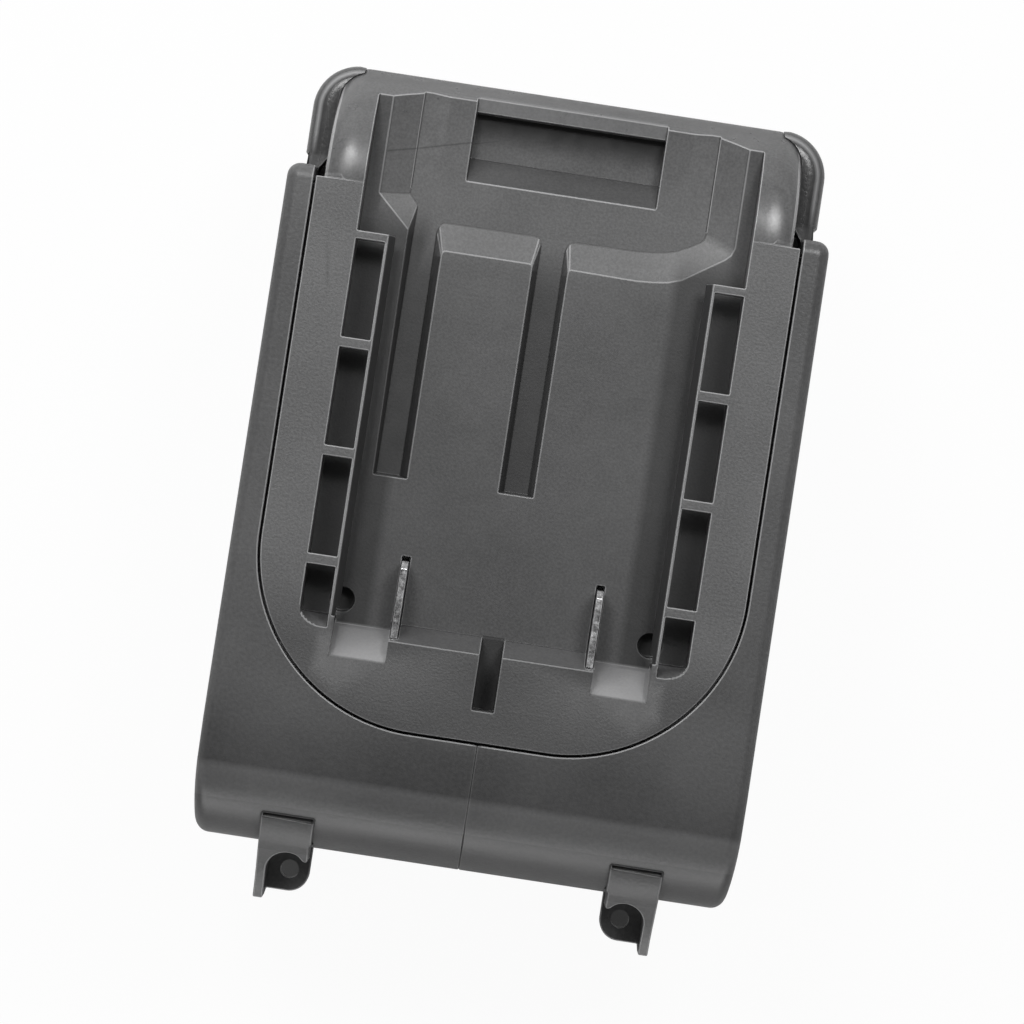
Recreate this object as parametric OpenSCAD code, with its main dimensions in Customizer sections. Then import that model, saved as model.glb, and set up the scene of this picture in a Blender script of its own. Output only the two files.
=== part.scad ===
// Tool battery adapter.
// A slide-in tool battery docks on the upper face, a plug tower on the lower side enters the appliance.
// X runs across, Y runs towards the end where the battery slides in, Z runs up out of the dock face.
// Z zero is the flat end of the plug tower, X zero is the seam between the two housing halves.

/* [Body] */
// width of the housing across X
body_w = 80; // [79:0.5:83]
// thickness of the housing from rear face to dock face
body_t = 26; // [26:0.5:29]
// distance from the origin to the round end of the housing
end_reach = 58.2; // [58:0.2:61]
// distance from the origin to the nose at the battery entry
nose_reach = 58.7; // [58.3:0.2:60.3]
// moulded wall thickness
wall = 2.2; // [2:0.1:2.4]
// gap in the seam round the dock plate
seam_gap = 0.4; // [0.3:0.05:0.5]
// width of the housing rim beside the dock plate
rim_w = 3.8; // [3.5:0.1:4.2]
// radius of the two lower corners of the dock plate
plate_corner_r = 25.8; // [24:0.2:27]
// radius of the rounded nose
nose_r = 18.6; // [18:0.1:19]

/* [Dock] */
// width of the dock inside its side walls
dock_w = 57.4; // [57:0.1:58]
// depth of the dock floor under the dock face
floor_d = 6.5; // [6.2:0.1:7]
// further depth of the tray and the grooves
tray_d = 1.6; // [1.4:0.1:1.8]
// width between the two guide lips
mouth_w = 45.8; // [45.4:0.1:46.2]
// thickness of a guide lip
lip_t = 3.4; // [3.2:0.1:3.6]
// spacing of the pockets along the lips
pocket_pitch = 16; // [15.8:0.1:16.1]
// thickness of the ribs between the pockets
rib_t = 1.5; // [1.3:0.1:1.8]
// width of the latch recess
recess_w = 28.4; // [28:0.2:29]
// depth of the latch recess under the tray
recess_d = 3.0; // [2.8:0.1:3.2]

/* [Contacts] */
// distance between the two blades
blade_gap = 29; // [28.6:0.1:29.4]
// thickness of a blade
blade_t = 1.0; // [0.9:0.1:1.1]
// depth of the blade tops under the dock face
blade_sink = 1.3; // [1:0.1:1.6]
// clearance beside a blade in its slots
blade_fit = 0.05; // [0.04:0.01:0.1]

/* [Ears] */
// distance between the two ear screw holes
ear_gap = 50.0; // [49.6:0.1:50.4]
// diameter of an ear screw hole
ear_hole_d = 2.8; // [2.6:0.1:3.2]

/* [Plug tower] */
// width of the plug tower across X
tower_w = 44; // [43:0.5:46]
// size of the plug tower along Y
tower_l = 34; // [33.6:0.2:36]
// height of the plug tower
tower_h = 24; // [24:0.5:28]

/* [Electronics] */
// width of the circuit board
board_w = 60; // [60:0.5:62]
// thickness of the circuit board
board_t = 1.6; // [1.4:0.1:1.8]
// diameter over the insulation of a lead
lead_d = 3.0; // [2.8:0.1:3.1]

/* [Fasteners] */
// thread diameter of the housing screws
screw_d = 2.9; // [2.7:0.1:3]
// head diameter of the housing screws
screw_head_d = 5.4; // [5:0.1:5.6]
// radial clearance of a screw in a through hole
screw_fit = 0.2; // [0.15:0.05:0.3]

/* [Hidden] */
$fn = 48;
eps = 0.02;
hw = body_w / 2;
z_rear = tower_h;
z_face = tower_h + body_t;
z_floor = z_face - floor_d;
z_tray = z_floor - tray_d;
z_recess = z_tray - recess_d;
z_under = z_floor - 2.0;
z_under_tray = z_tray - 2.2;
z_in = z_rear + wall;
end_r = 12.9;
end_y = -end_reach + end_r;
end_z = z_rear + end_r;
plate_hw = hw - rim_w - seam_gap;
plate_cy = plate_corner_r - 38.5;
rim_t = 2.6;
tongue_t = 1.9;
z_rim = z_face - rim_t;
z_ledge = z_rim - tongue_t - 0.1;
ledge_t = 2.0;
tongue_out = 1.4;
shoulder_y = 41.6;
nose_y = nose_reach - nose_r;
nose_z = z_face - nose_r;
nose_hw = plate_hw - 1.2;
flat_end = 40.0;
back_hw = hw - 1.2;
back_top = z_face - 11;
back_end = nose_reach - 0.7;
dw = dock_w / 2;
mw = mouth_w / 2;
pocket_in = mw + 1.5;
pocket_top = 31.8;
lip_top = pocket_top + 1.2;
dock_end = -25.7;
holder_x = 22.95;
holder_y = -20.85;
blade_x = blade_gap / 2;
holder_low = z_under - 4.6;
ear_y = -62.2;
ear_tail = ear_y - 4.7;
board_z = z_in + 2.2;
board_top = board_z + board_t;
board_y0 = -42;
board_y1 = -9;
post_x = board_w / 2 - 3;
screw_x = 30;
screw_y1 = 30;
screw_y2 = -3.6;
z_post = z_in + 7.8;
head_t = 2.0;
socket_x = 6;
socket_back = 16;
lead_r = lead_d / 2;
lead_y = -12;
lead_z = board_top + 4;

// Helpers

// box between two corners
module box(a, b) {
  translate(a) cube([b[0] - a[0], b[1] - a[1], b[2] - a[2]]);
}

// profile in Y and Z drawn out along X
module along_x(x0, x1) {
  translate([x0, 0, 0]) rotate([90, 0, 90]) linear_extrude(height = x1 - x0) children();
}

// profile in X and Z drawn out along Y
module along_y(y0, y1) {
  translate([0, y1, 0]) rotate([90, 0, 0]) linear_extrude(height = y1 - y0) children();
}

// rectangle with its four corners rounded
module round_rect(x0, y0, x1, y1, r) {
  translate([x0 + r, y0]) square([x1 - x0 - 2 * r, y1 - y0]);
  translate([x0, y0 + r]) square([x1 - x0, y1 - y0 - 2 * r]);
  for (x = [x0 + r, x1 - r]) {
    for (y = [y0 + r, y1 - r]) translate([x, y]) circle(r = r);
  }
}

// rectangle with its two upper corners rounded
module round_top(x0, y0, x1, y1, r) {
  translate([x0, y0]) square([x1 - x0, y1 - y0 - r]);
  translate([x0 + r, y0]) square([x1 - x0 - 2 * r, y1 - y0]);
  for (x = [x0 + r, x1 - r]) translate([x, y1 - r]) circle(r = r);
}

// both mirror images of a part that lies at positive X
module both_sides() {
  children();
  mirror([1, 0, 0]) children();
}

// outline of the dock plate, grown by g and ending at y_top
module plate_plan(g, y_top) {
  w = plate_hw + g;
  r = plate_corner_r + g;
  translate([-w, plate_cy]) square([2 * w, y_top - plate_cy]);
  translate([-(w - r), plate_cy - r]) square([2 * (w - r), r]);
  for (x = [-(w - r), w - r]) translate([x, plate_cy]) circle(r = r, $fn = 96);
}

// outline of the dock plate drawn out along Z
module plate_slab(g, y_top, z0, z1) {
  translate([0, 0, z0]) linear_extrude(height = z1 - z0) plate_plan(g, y_top);
}

// Dock plate

// outline of the nose seen from above, slightly bowed at its end and grown by g
module nose_plan(g) {
  r = 3.2 + g;
  x = nose_hw - 3.2;
  y = nose_reach - 3.8;
  translate([-nose_hw - g, 0]) square([2 * (nose_hw + g), y]);
  polygon([[-x, y - 1], [x, y - 1], [x, y + r], [0, nose_reach + g], [-x, y + r]]);
  for (c = [-x, x]) translate([c, y]) circle(r = r);
}

// rounded nose, shrunk by s on its sides and its round
module nose(s) {
  intersection() {
    along_y(flat_end - 6, nose_reach - s) round_top(-nose_hw + s, nose_z, nose_hw - s, z_face - s, 5);
    along_x(-nose_hw - 1, nose_hw + 1) union() {
      translate([flat_end - 8, nose_z]) square([nose_y - flat_end + 8, nose_r - s]);
      intersection() {
        translate([nose_y, nose_z]) circle(r = nose_r - s, $fn = 96);
        translate([nose_y - 1, nose_z]) square([nose_r + 2, nose_r + 2]);
      }
    }
    translate([0, 0, nose_z - 1]) linear_extrude(height = nose_r + 2) nose_plan(-s);
  }
}

// block under the dock floor before the dock is cut into it
module pan() {
  box([-dw - 2.2, -35.9, z_under], [dw + 2.2, -4, z_rim + eps]);
  box([-dw - 2.2, -4.2, z_under_tray], [dw + 2.2, flat_end, z_rim + eps]);
  intersection() {
    union() {
      box([-dw - 2.2, flat_end - 1, z_under_tray], [dw + 2.2, nose_reach, z_face]);
      box([-recess_w / 2 - 2, flat_end - 1, z_recess - 1.8], [recess_w / 2 + 2, nose_reach, z_face]);
    }
    nose(0.6);
  }
  box([-recess_w / 2 - 2, flat_end - 1, z_recess - 1.8], [recess_w / 2 + 2, flat_end + 1, z_under_tray + 1]);
}

// room above a slope that rises from the tray at Y zero to the floor, run mm further towards minus Y
module slope_room(x0, x1, run) {
  along_x(x0, x1) polygon([[-run, z_floor], [0, z_tray], [22, z_tray], [22, z_floor + 1],
    [-run, z_floor + 1]]);
}

// tray, grooves and the slopes that lead down into them
module tray_cut() {
  intersection() {
    along_y(30, nose_reach + 1) polygon([[-22.1, z_tray], [22.1, z_tray], [26.6, z_floor],
      [26.6, z_floor + 1], [-26.6, z_floor + 1], [-26.6, z_floor]]);
    union() {
      translate([0, 36.4, 0]) slope_room(-17.2, -1.85, 4.2);
      translate([0, 36.4, 0]) slope_room(-2, 2, 0.1);
      translate([0, 36.4, 0]) slope_room(1.95, 18.9, 4.2);
      translate([18.3, 36.9, 0]) rotate([0, 0, 31]) slope_room(-0.6, 16, 3.9);
      intersection() {
        translate([-21.35, 39.2, 0]) rotate([0, 0, -46]) slope_room(-9, 9, 3.3);
        box([-27, 30, z_tray - 1], [-17.1, 60, z_face]);
      }
    }
  }
  along_y(-1.8, 38) polygon([[-21.2, z_floor], [-20.9, z_tray], [-17.3, z_tray], [-16.15, z_floor],
    [-16.15, z_floor + 1], [-21.2, z_floor + 1]]);
  along_y(-1.8, 37) polygon([[-2.6, z_floor], [-1.8, z_tray], [1.8, z_tray], [2.7, z_floor],
    [2.7, z_floor + 1], [-2.6, z_floor + 1]]);
}

// pit that the latch of the battery drops into, behind its striker bar
module recess_cut() {
  rw = recess_w / 2;
  box([-rw, 46.6, z_recess], [rw, 53.4, z_face]);
  along_x(-rw, rw) polygon([[42.97, z_tray], [46.65, z_recess], [46.65, z_tray + 1], [42.97, z_tray + 1]]);
  box([-rw, 53.3, z_tray - 0.9], [rw, nose_reach + 1, z_face]);
}

// windows and undercut of the lip at positive X
module lip_cut() {
  for (i = [0:2]) {
    y1 = pocket_top - i * pocket_pitch;
    box([pocket_in, y1 - pocket_pitch + rib_t, z_floor], [dw, y1, z_face + 1]);
  }
  y4 = pocket_top - 3 * pocket_pitch;
  intersection() {
    translate([0, 0, z_floor]) linear_extrude(height = floor_d + 1) union() {
      translate([pocket_in, dock_end + 3.4]) square([dw - pocket_in, y4 - dock_end - 3.4]);
      translate([pocket_in, dock_end]) square([dw - pocket_in - 3.4, 4]);
      intersection() {
        translate([dw - 3.4, dock_end + 3.4]) circle(r = 3.4);
        translate([pocket_in, dock_end]) square([6, 4]);
      }
    }
    along_x(0, dw + 1) polygon([[0, z_floor], [dock_end + 2.2, z_floor], [dock_end, z_face - 2.4],
      [dock_end - 1, z_face - 2.4], [dock_end - 1, z_face + 1], [0, z_face + 1]]);
  }
  box([0, dock_end + 2.2, z_floor], [dw, lip_top + 1, z_face - lip_t]);
  along_y(dock_end + 2.4, lip_top + 1) polygon([[0, z_face - lip_t - 1], [mw, z_face - lip_t - 1],
    [mw, z_face - lip_t], [mw + 1, z_face], [mw + 1, z_face + 1], [0, z_face + 1]]);
}

// ramps and notch at the closed end of the dock
module end_cut() {
  along_x(-mw - 0.1, mw + 0.1) polygon([[0, z_floor], [-23.3, z_floor], [-25.7, z_face],
    [-25.9, z_face + 1], [0, z_face + 1]]);
  both_sides() {
    along_x(15.15, 23.6) polygon([[-22, z_floor], [-24.4, z_floor], [-29.3, z_face],
      [-29.8, z_face + 1], [-22, z_face + 1]]);
  }
  box([-1.63, -33.9, z_face - 4.9], [1.63, -22, z_face + 1]);
}

module dock_plate() {
  color([0.33, 0.33, 0.33]) difference() {
    union() {
      plate_slab(0, flat_end, z_rim, z_face);
      plate_slab(tongue_out, flat_end - 1, z_ledge, z_ledge + tongue_t);
      plate_slab(-0.6, flat_end, z_ledge, z_rim + eps);
      difference() {
        nose(0);
        nose(wall);
        box([-hw, 0, nose_z - 1], [hw, flat_end, z_rim]);
      }
      pan();
      both_sides() {
        for (y = [screw_y1, screw_y2]) translate([screw_x, y, z_post]) cylinder(r = 3.2, h = z_rim - z_post);
        translate([holder_x, holder_y, z_under - 2.6]) cylinder(r = 3.4, h = 3);
      }
    }
    difference() {
      plate_slab(-3, flat_end + 1, z_ledge - 1, z_rim);
      box([-dw - 2.2, -35.9, 0], [dw + 2.2, 60, z_face + 1]);
      both_sides() {
        for (y = [screw_y1, screw_y2]) translate([screw_x, y, z_post]) cylinder(r = 3.2, h = 20);
      }
      nose(0);
    }
    both_sides() lip_cut();
    box([-dw, lip_top, z_floor], [dw, nose_reach + 1, z_face + 1]);
    tray_cut();
    recess_cut();
    end_cut();
    both_sides() {
      box([blade_x - blade_t / 2 - 0.12, -25.6, z_under - 1],
        [blade_x + blade_t / 2 + 0.12, -13.2, z_face + 1]);
      translate([holder_x, holder_y, z_under - 3]) cylinder(r = 1.3, h = 8);
      translate([holder_x, holder_y, z_under]) cylinder(r = 1.83, h = 4);
      for (y = [screw_y1, screw_y2]) translate([screw_x, y, z_post - 1]) cylinder(r = screw_d / 2, h = 9.6);
    }
  }
}

// Housing halves

// outside of the main body
module body_block() {
  intersection() {
    along_y(-end_reach - 1, shoulder_y) union() {
      round_top(-hw, z_rear + 5, hw, z_face, 1.8);
      round_rect(-hw, z_rear, hw, z_face - 5, 3.5);
    }
    along_x(-hw - 1, hw + 1) union() {
      polygon([[shoulder_y, z_rear], [shoulder_y, z_face], [-41, z_face], [-47.2, z_face - 0.34],
        [-47.2, z_rear + 0.14], [end_y, z_rear]]);
      intersection() {
        translate([end_y, end_z]) circle(r = end_r, $fn = 96);
        translate([-end_reach - 1, z_rear - 1]) square([end_reach - 46.2, body_t + 2]);
      }
      polygon([[end_y, z_rear], [-46, z_rear + 0.1], [-50, z_rear + 4], [-50, z_face - 4], [-46, z_face - 4],
        [end_y, z_face - 4]]);
    }
    translate([0, 0, z_rear - 1]) linear_extrude(height = body_t + 2)
      round_rect(-hw, -end_reach, hw, shoulder_y, 2.3);
  }
}

// outside of the lower body behind the nose
module back_block() {
  intersection() {
    along_y(shoulder_y - 6, back_end) union() {
      round_top(-back_hw, z_rear + 4, back_hw, back_top, 1.6);
      round_rect(-back_hw, z_rear, back_hw, back_top - 5, 3.5);
    }
    translate([0, 0, z_rear - 1]) linear_extrude(height = body_t)
      round_rect(-back_hw, 0, back_hw, back_end, 6.8);
  }
}

// screw ear at positive X, standing off the round end
module ear() {
  ex = ear_gap / 2;
  zb = z_rear + 6;
  difference() {
    intersection() {
      along_x(ex - 3, ex + 4.8) polygon([[-46, zb], [-46, z_face - 4], [-54.1, z_face - 2.7],
        [-56.5, z_face - 4.1], [-58.8, z_face - 6.3], [-61, z_face - 9], [-63.5, z_face - 11.8],
        [ear_tail, z_face - 14.5], [ear_tail, zb]]);
      translate([0, 0, zb]) linear_extrude(height = 22) union() {
        translate([ex - 3, ear_y - 0.5]) square([7.8, 24]);
        translate([ex, ear_y - 0.5]) circle(r = 3);
        translate([ex, ear_y - 3.5]) square([3.3, 4]);
        translate([ex + 3.3, ear_tail]) square([1.5, 8]);
      }
    }
    translate([0, 0, zb + 3]) linear_extrude(height = 20) union() {
      translate([ex + 0.2, ear_y]) circle(r = 3.15);
      translate([ex - 4, ear_y - 8]) square([7.35, 8]);
      polygon([[ex - 4, ear_y - 1], [ex - 4, ear_y + 2], [ex - 2.2, ear_y + 2], [ex - 1, ear_y + 2.9],
        [ex, ear_y + 3.1], [ex, ear_y - 1]]);
      translate([ex - 4, ear_y]) square([1.3, 4.2]);
    }
    translate([ex, ear_y, zb - 1]) cylinder(r = ear_hole_d / 2, h = 10);
  }
}

// outside of the plug tower
module tower_block() {
  translate([0, 0, 0]) linear_extrude(height = z_rear + 1)
    round_rect(-tower_w / 2, -tower_l / 2, tower_w / 2, tower_l / 2, 5);
}

// room inside both halves
module housing_room() {
  intersection() {
    box([-hw + wall, -end_reach + wall, z_in], [hw - wall, shoulder_y - wall, z_rim]);
    along_x(-hw, hw) union() {
      translate([-47, z_in]) square([shoulder_y + 46, z_rim - z_in]);
      translate([end_y, end_z]) circle(r = end_r - wall, $fn = 96);
    }
  }
  plate_slab(seam_gap, 42.5, z_rim - 1, z_face + 1);
  box([-plate_hw - seam_gap, 38, back_top - 3], [plate_hw + seam_gap, 42.5, z_face + 1]);
  intersection() {
    box([-nose_hw - 0.3, 38, nose_z - 0.1], [nose_hw + 0.3, nose_reach + 2, z_face + 1]);
    translate([0, 0, nose_z - 1]) linear_extrude(height = nose_r + 3) nose_plan(0.3);
  }
  translate([0, 0, z_in]) linear_extrude(height = nose_z - eps - z_in)
    round_top(-back_hw + wall, 36, back_hw - wall, back_end - wall, 4.6);
  box([-back_hw + wall, 42.5, z_in], [back_hw - wall, back_end - wall - 4.5, back_top - wall]);
  translate([0, 0, 2.4]) linear_extrude(height = z_in - 2.4 + 0.1)
    round_rect(-tower_w / 2 + wall, -tower_l / 2 + wall, tower_w / 2 - wall, tower_l / 2 - wall, 2.8);
  box([-12.2, -6.2, -1], [12.2, 6.2, 3]);
  both_sides() {
    box([hw - 2.1, shoulder_y + 0.1, z_rear - 1], [hw + 1, 43.9, z_face + 1]);
    box([back_hw - 1.6, shoulder_y + 1.6, back_top - 6], [hw + 1, 43.9, z_face + 1]);
  }
}

// shelf that carries the tongue of the dock plate
module ledge() {
  difference() {
    plate_slab(tongue_out + 1, shoulder_y - 1, z_ledge - ledge_t, z_ledge);
    plate_slab(-1.8, shoulder_y + 1, z_ledge - ledge_t - 1, z_ledge + 1);
    box([-hw, flat_end - 3, 0], [hw, 60, z_face]);
    for (x = [-screw_x, screw_x]) {
      for (y = [screw_y1, screw_y2]) translate([x, y, 0]) cylinder(r = 3.7, h = z_face);
    }
  }
}

// both halves in one block, before the cut along the middle
module housing_both() {
  difference() {
    union() {
      difference() {
        union() {
          body_block();
          back_block();
          tower_block();
        }
        housing_room();
      }
      difference() {
        both_sides() ear();
        along_x(-hw, hw) translate([end_y, end_z]) circle(r = end_r - wall / 2, $fn = 96);
      }
      ledge();
      both_sides() {
        for (y = [screw_y1, screw_y2]) {
          translate([screw_x, y, z_in - 1]) cylinder(r = 4.2, h = z_post - z_in + 1);
        }
        for (y = [board_y0 + 3, board_y1 - 3]) {
          translate([post_x, y, z_in - 1]) cylinder(r = 2.8, h = board_z - z_in + 1);
        }
        box([12.5, -5, socket_back], [tower_w / 2 - wall + 0.5, 5, socket_back + 2]);
      }
      for (y = [-tower_l / 2 + 5, tower_l / 2 - 5]) {
        translate([-tower_w / 2 + 0.5, y, 12]) rotate([0, 90, 0]) cylinder(r = 3, h = tower_w / 2 + 8.5);
      }
    }
    both_sides() {
      for (y = [screw_y1, screw_y2]) {
        translate([screw_x, y, z_rear - 1]) cylinder(r = screw_d / 2 + screw_fit, h = z_post - z_rear + 2);
        translate([screw_x, y, z_rear - 1]) cylinder(r = screw_head_d / 2 + 0.3, h = head_t + 1.6);
      }
      for (y = [board_y0 + 3, board_y1 - 3]) translate([post_x, y, z_rear + 1]) cylinder(r = 1.05, h = 6);
    }
    for (y = [-tower_l / 2 + 5, tower_l / 2 - 5]) {
      translate([-tower_w / 2 - 1, y, 12]) rotate([0, 90, 0]) {
        cylinder(r = screw_d / 2 + screw_fit, h = tower_w / 2 + 1);
        cylinder(r = screw_head_d / 2 + 0.3, h = head_t + 1.3);
      }
      translate([-1, y, 12]) rotate([0, 90, 0]) cylinder(r = screw_d / 2, h = 8.5);
    }
  }
}

module left_housing() {
  color([0.29, 0.29, 0.29]) intersection() {
    housing_both();
    box([-hw - 1, ear_tail - 1, -1], [0, nose_reach + 1, z_face + 1]);
  }
}

module right_housing() {
  color([0.29, 0.29, 0.29]) intersection() {
    housing_both();
    box([0, ear_tail - 1, -1], [hw + 1, nose_reach + 1, z_face + 1]);
  }
}

// Contacts of the dock

// blade at positive X with the tail that is soldered into the board
module blade() {
  x0 = blade_x - blade_t / 2;
  zt = z_face - blade_sink;
  along_x(x0, x0 + blade_t) polygon([[-25.3, holder_low], [-25.3, zt], [-15.0, zt], [-13.9, zt - 1],
    [-13.9, holder_low + 2], [-15, holder_low + 2], [-15, holder_low], [-18, holder_low],
    [-18, board_z - 0.8], [-22, board_z - 0.8], [-22, holder_low]]);
}

module positive_blade() {
  color([0.8, 0.8, 0.82]) blade();
}

module negative_blade() {
  color([0.8, 0.8, 0.82]) mirror([1, 0, 0]) blade();
}

module blade_holder() {
  color([0.12, 0.12, 0.12]) difference() {
    union() {
      box([-18.4, -27.2, holder_low], [18.4, -12.6, z_under]);
      both_sides() {
        box([18, holder_y - 3.2, holder_low], [holder_x, holder_y + 3.2, z_under - 2.6]);
        translate([holder_x, holder_y, holder_low]) cylinder(r = 3.2, h = z_under - 2.6 - holder_low);
      }
    }
    both_sides() {
      box([blade_x - blade_t / 2 - blade_fit, -25.3 - blade_fit, holder_low - 1],
        [blade_x + blade_t / 2 + blade_fit, -13.9 + blade_fit, z_under + 1]);
      translate([holder_x, holder_y, holder_low - 1]) cylinder(r = 1.5, h = 8);
    }
    box([-9, -24, holder_low - 1], [9, -15.5, holder_low + 2]);
  }
}

module holder_screws() {
  color([0.7, 0.7, 0.72]) both_sides() {
    translate([holder_x, holder_y, holder_low - 1.8]) cylinder(r = 2.4, h = 1.8);
    translate([holder_x, holder_y, holder_low - eps]) cylinder(r = 1.27, h = z_under - holder_low - 0.4);
  }
}

// Electronics

module circuit_board() {
  color([0.1, 0.35, 0.2]) difference() {
    box([-board_w / 2, board_y0, board_z], [board_w / 2, board_y1, board_top]);
    both_sides() {
      for (y = [board_y0 + 3, board_y1 - 3]) translate([post_x, y, board_z - 1]) cylinder(r = 1.25, h = 4);
      box([blade_x - blade_t / 2 - 0.1, -22.1, board_z - 1],
        [blade_x + blade_t / 2 + 0.1, -17.9, board_top + 1]);
      translate([socket_x, lead_y, board_z - 1]) cylinder(r = 0.9, h = 4);
    }
  }
}

module board_screws() {
  color([0.7, 0.7, 0.72]) both_sides() {
    for (y = [board_y0 + 3, board_y1 - 3]) {
      translate([post_x, y, board_top]) cylinder(r = 2.1, h = 1.5);
      translate([post_x, y, z_rear + 1.4]) cylinder(r = 1.02, h = board_top - z_rear - 1.4 + eps);
    }
  }
}

// four flat transistors side by side under the heat sink
module power_transistors() {
  color([0.1, 0.1, 0.1]) for (i = [0:3]) {
    x = -19 + i * 9.6;
    box([x - 3.3, -38.6, board_top], [x + 3.3, -32.4, board_top + 2.3]);
    box([x - 2.6, -39.8, board_top], [x + 2.6, -38.6, board_top + 0.6]);
    for (dx = [-2.3, 2.3]) box([x + dx - 0.4, -32.4, board_top], [x + dx + 0.4, -30.8, board_top + 0.9]);
  }
}

module heat_sink() {
  zs = board_top + 2.3;
  color([0.75, 0.75, 0.77]) union() {
    box([-24, -40.2, zs], [15, -31, zs + 1.6]);
    for (i = [0:9]) box([-24 + i * 4.2, -40.2, zs + 1.5], [-22.8 + i * 4.2, -31, zs + 6]);
  }
}

module smoothing_capacitors() {
  color([0.15, 0.17, 0.3]) for (y = [-37.6, -28.8]) {
    translate([21, y, board_top]) cylinder(r = 4, h = 9.4);
  }
}

module fuse() {
  zf = board_top + 3.6;
  color([0.85, 0.87, 0.88]) translate([0, -27, 0]) {
    translate([-23.6, 0, zf]) rotate([0, 90, 0]) cylinder(r = 2.6, h = 5);
    translate([-18.62, 0, zf]) rotate([0, 90, 0]) cylinder(r = 2.3, h = 10.04);
    translate([-8.6, 0, zf]) rotate([0, 90, 0]) cylinder(r = 2.6, h = 5);
  }
}

// two spring clips that hold the end caps of the fuse
module fuse_clips() {
  zf = board_top + 3.6;
  color([0.82, 0.82, 0.8]) for (x = [-23.1, -8.1]) {
    difference() {
      box([x, -30.1, board_top], [x + 4, -23.9, board_top + 5.4]);
      translate([x - 1, -27, zf]) rotate([0, 90, 0]) cylinder(r = 2.6, h = 6);
      box([x - 1, -29.6, board_top + 0.5], [x + 5, -24.4, board_top + 0.9]);
      box([x - 1, -28.6, board_top + 4], [x + 5, -25.4, board_top + 7]);
    }
  }
}

module control_chips() {
  color([0.08, 0.08, 0.08]) for (p = [[2, -24.4], [-5.4, -17.4]]) {
    box([p[0] - 2.5, p[1] - 2, board_top + 0.2], [p[0] + 2.5, p[1] + 2, board_top + 1.7]);
    for (i = [0:3]) {
      for (s = [-1, 1]) {
        box([p[0] - 2.1 + i * 1.27, p[1] + s * 2.45 - 0.5, board_top],
          [p[0] - 1.7 + i * 1.27, p[1] + s * 2.45 + 0.5, board_top + 0.7]);
      }
    }
  }
}

module surface_parts() {
  color([0.75, 0.65, 0.45]) {
    for (i = [0:4]) box([1.6 + i * 3.2, -17.9, board_top], [3.6 + i * 3.2, -16.7, board_top + 0.7]);
    for (i = [0:3]) box([-26.4, -24.6 + i * 2.6, board_top], [-24.4, -23.4 + i * 2.6, board_top + 0.7]);
    for (i = [0:2]) box([9.4, -28.6 + i * 3, board_top], [12.6, -27 + i * 3, board_top + 0.9]);
    box([20.2, -23.4, board_top], [25.6, -20.2, board_top + 2]);
  }
}

// Plug of the tower

module output_socket() {
  color([0.1, 0.1, 0.1]) difference() {
    union() {
      box([-12, -6, 0.6], [12, 6, 2.5]);
      box([-14, -7.4, 2.4], [14, 7.4, socket_back]);
    }
    both_sides() {
      box([socket_x - 0.8, -4.2, -1], [socket_x + 0.8, 4.2, 5]);
      box([socket_x - 2.5, -4.6, 3.6], [socket_x + 2.5, 4.6, socket_back + 1]);
    }
  }
}

// spring contact at positive X with its solder tail
module contact_clip() {
  h = socket_back;
  along_y(-4.2, 4.2) polygon([[socket_x - 2.5, h - 3.4], [socket_x - 2.5, h - 2.8],
    [socket_x + 2.5, h - 2.8], [socket_x + 2.5, h - 3.4], [socket_x + 2.0, h - 3.4],
    [socket_x + 0.95, 6.4], [socket_x + 1.5, 3.9],
    [socket_x + 1.1, 3.9], [socket_x + 0.5, 6.4], [socket_x + 1.5, h - 3.4], [socket_x - 1.5, h - 3.4],
    [socket_x - 0.5, 6.4], [socket_x - 1.1, 3.9], [socket_x - 1.5, 3.9], [socket_x - 0.95, 6.4],
    [socket_x - 2.0, h - 3.4]]);
  box([socket_x - 0.4, -1.5, h - 2.9], [socket_x + 0.4, 1.5, h + 4]);
}

module positive_contact_clip() {
  color([0.85, 0.7, 0.4]) contact_clip();
}

module negative_contact_clip() {
  color([0.85, 0.7, 0.4]) mirror([1, 0, 0]) contact_clip();
}

// lead at positive X, from the board over its edge and down the tower to the contact tail
module lead() {
  bend = 4;
  zt = socket_back + 4;
  translate([socket_x, lead_y, board_z + 0.1]) cylinder(r = 0.8, h = board_t + 0.2);
  translate([socket_x, lead_y, board_top]) cylinder(r = lead_r, h = lead_z - bend - board_top + 0.02);
  translate([socket_x, lead_y + bend, lead_z - bend]) rotate([90, 0, 90]) rotate([0, 0, 90])
    rotate_extrude(angle = 90) translate([bend, 0]) circle(r = lead_r);
  translate([socket_x, -bend + 0.01, lead_z]) rotate([90, 0, 0])
    cylinder(r = lead_r, h = -lead_y - 2 * bend + 0.02);
  translate([socket_x, -bend, lead_z - bend]) rotate([90, 0, 90])
    rotate_extrude(angle = 90) translate([bend, 0]) circle(r = lead_r);
  translate([socket_x, 0, zt]) cylinder(r = lead_r, h = lead_z - bend - zt + 0.01);
}

module positive_lead() {
  color([0.7, 0.1, 0.1]) lead();
}

module negative_lead() {
  color([0.07, 0.07, 0.07]) mirror([1, 0, 0]) lead();
}

module lead_sleeves() {
  color([0.1, 0.1, 0.12]) both_sides() translate([socket_x, 0, socket_back + 0.6]) difference() {
    cylinder(r = lead_r + 0.65, h = 8);
    translate([0, 0, -1]) cylinder(r = lead_r + 0.12, h = 10);
  }
}

// Fasteners

module plate_screws() {
  color([0.7, 0.7, 0.72]) both_sides() {
    for (y = [screw_y1, screw_y2]) {
      translate([screw_x, y, z_rear + 0.6]) cylinder(r = screw_head_d / 2, h = head_t);
      translate([screw_x, y, z_rear + 2.6 - eps])
        cylinder(r = screw_d / 2 - 0.02, h = z_post + 7.8 - z_rear - 2.6);
    }
  }
}

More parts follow.
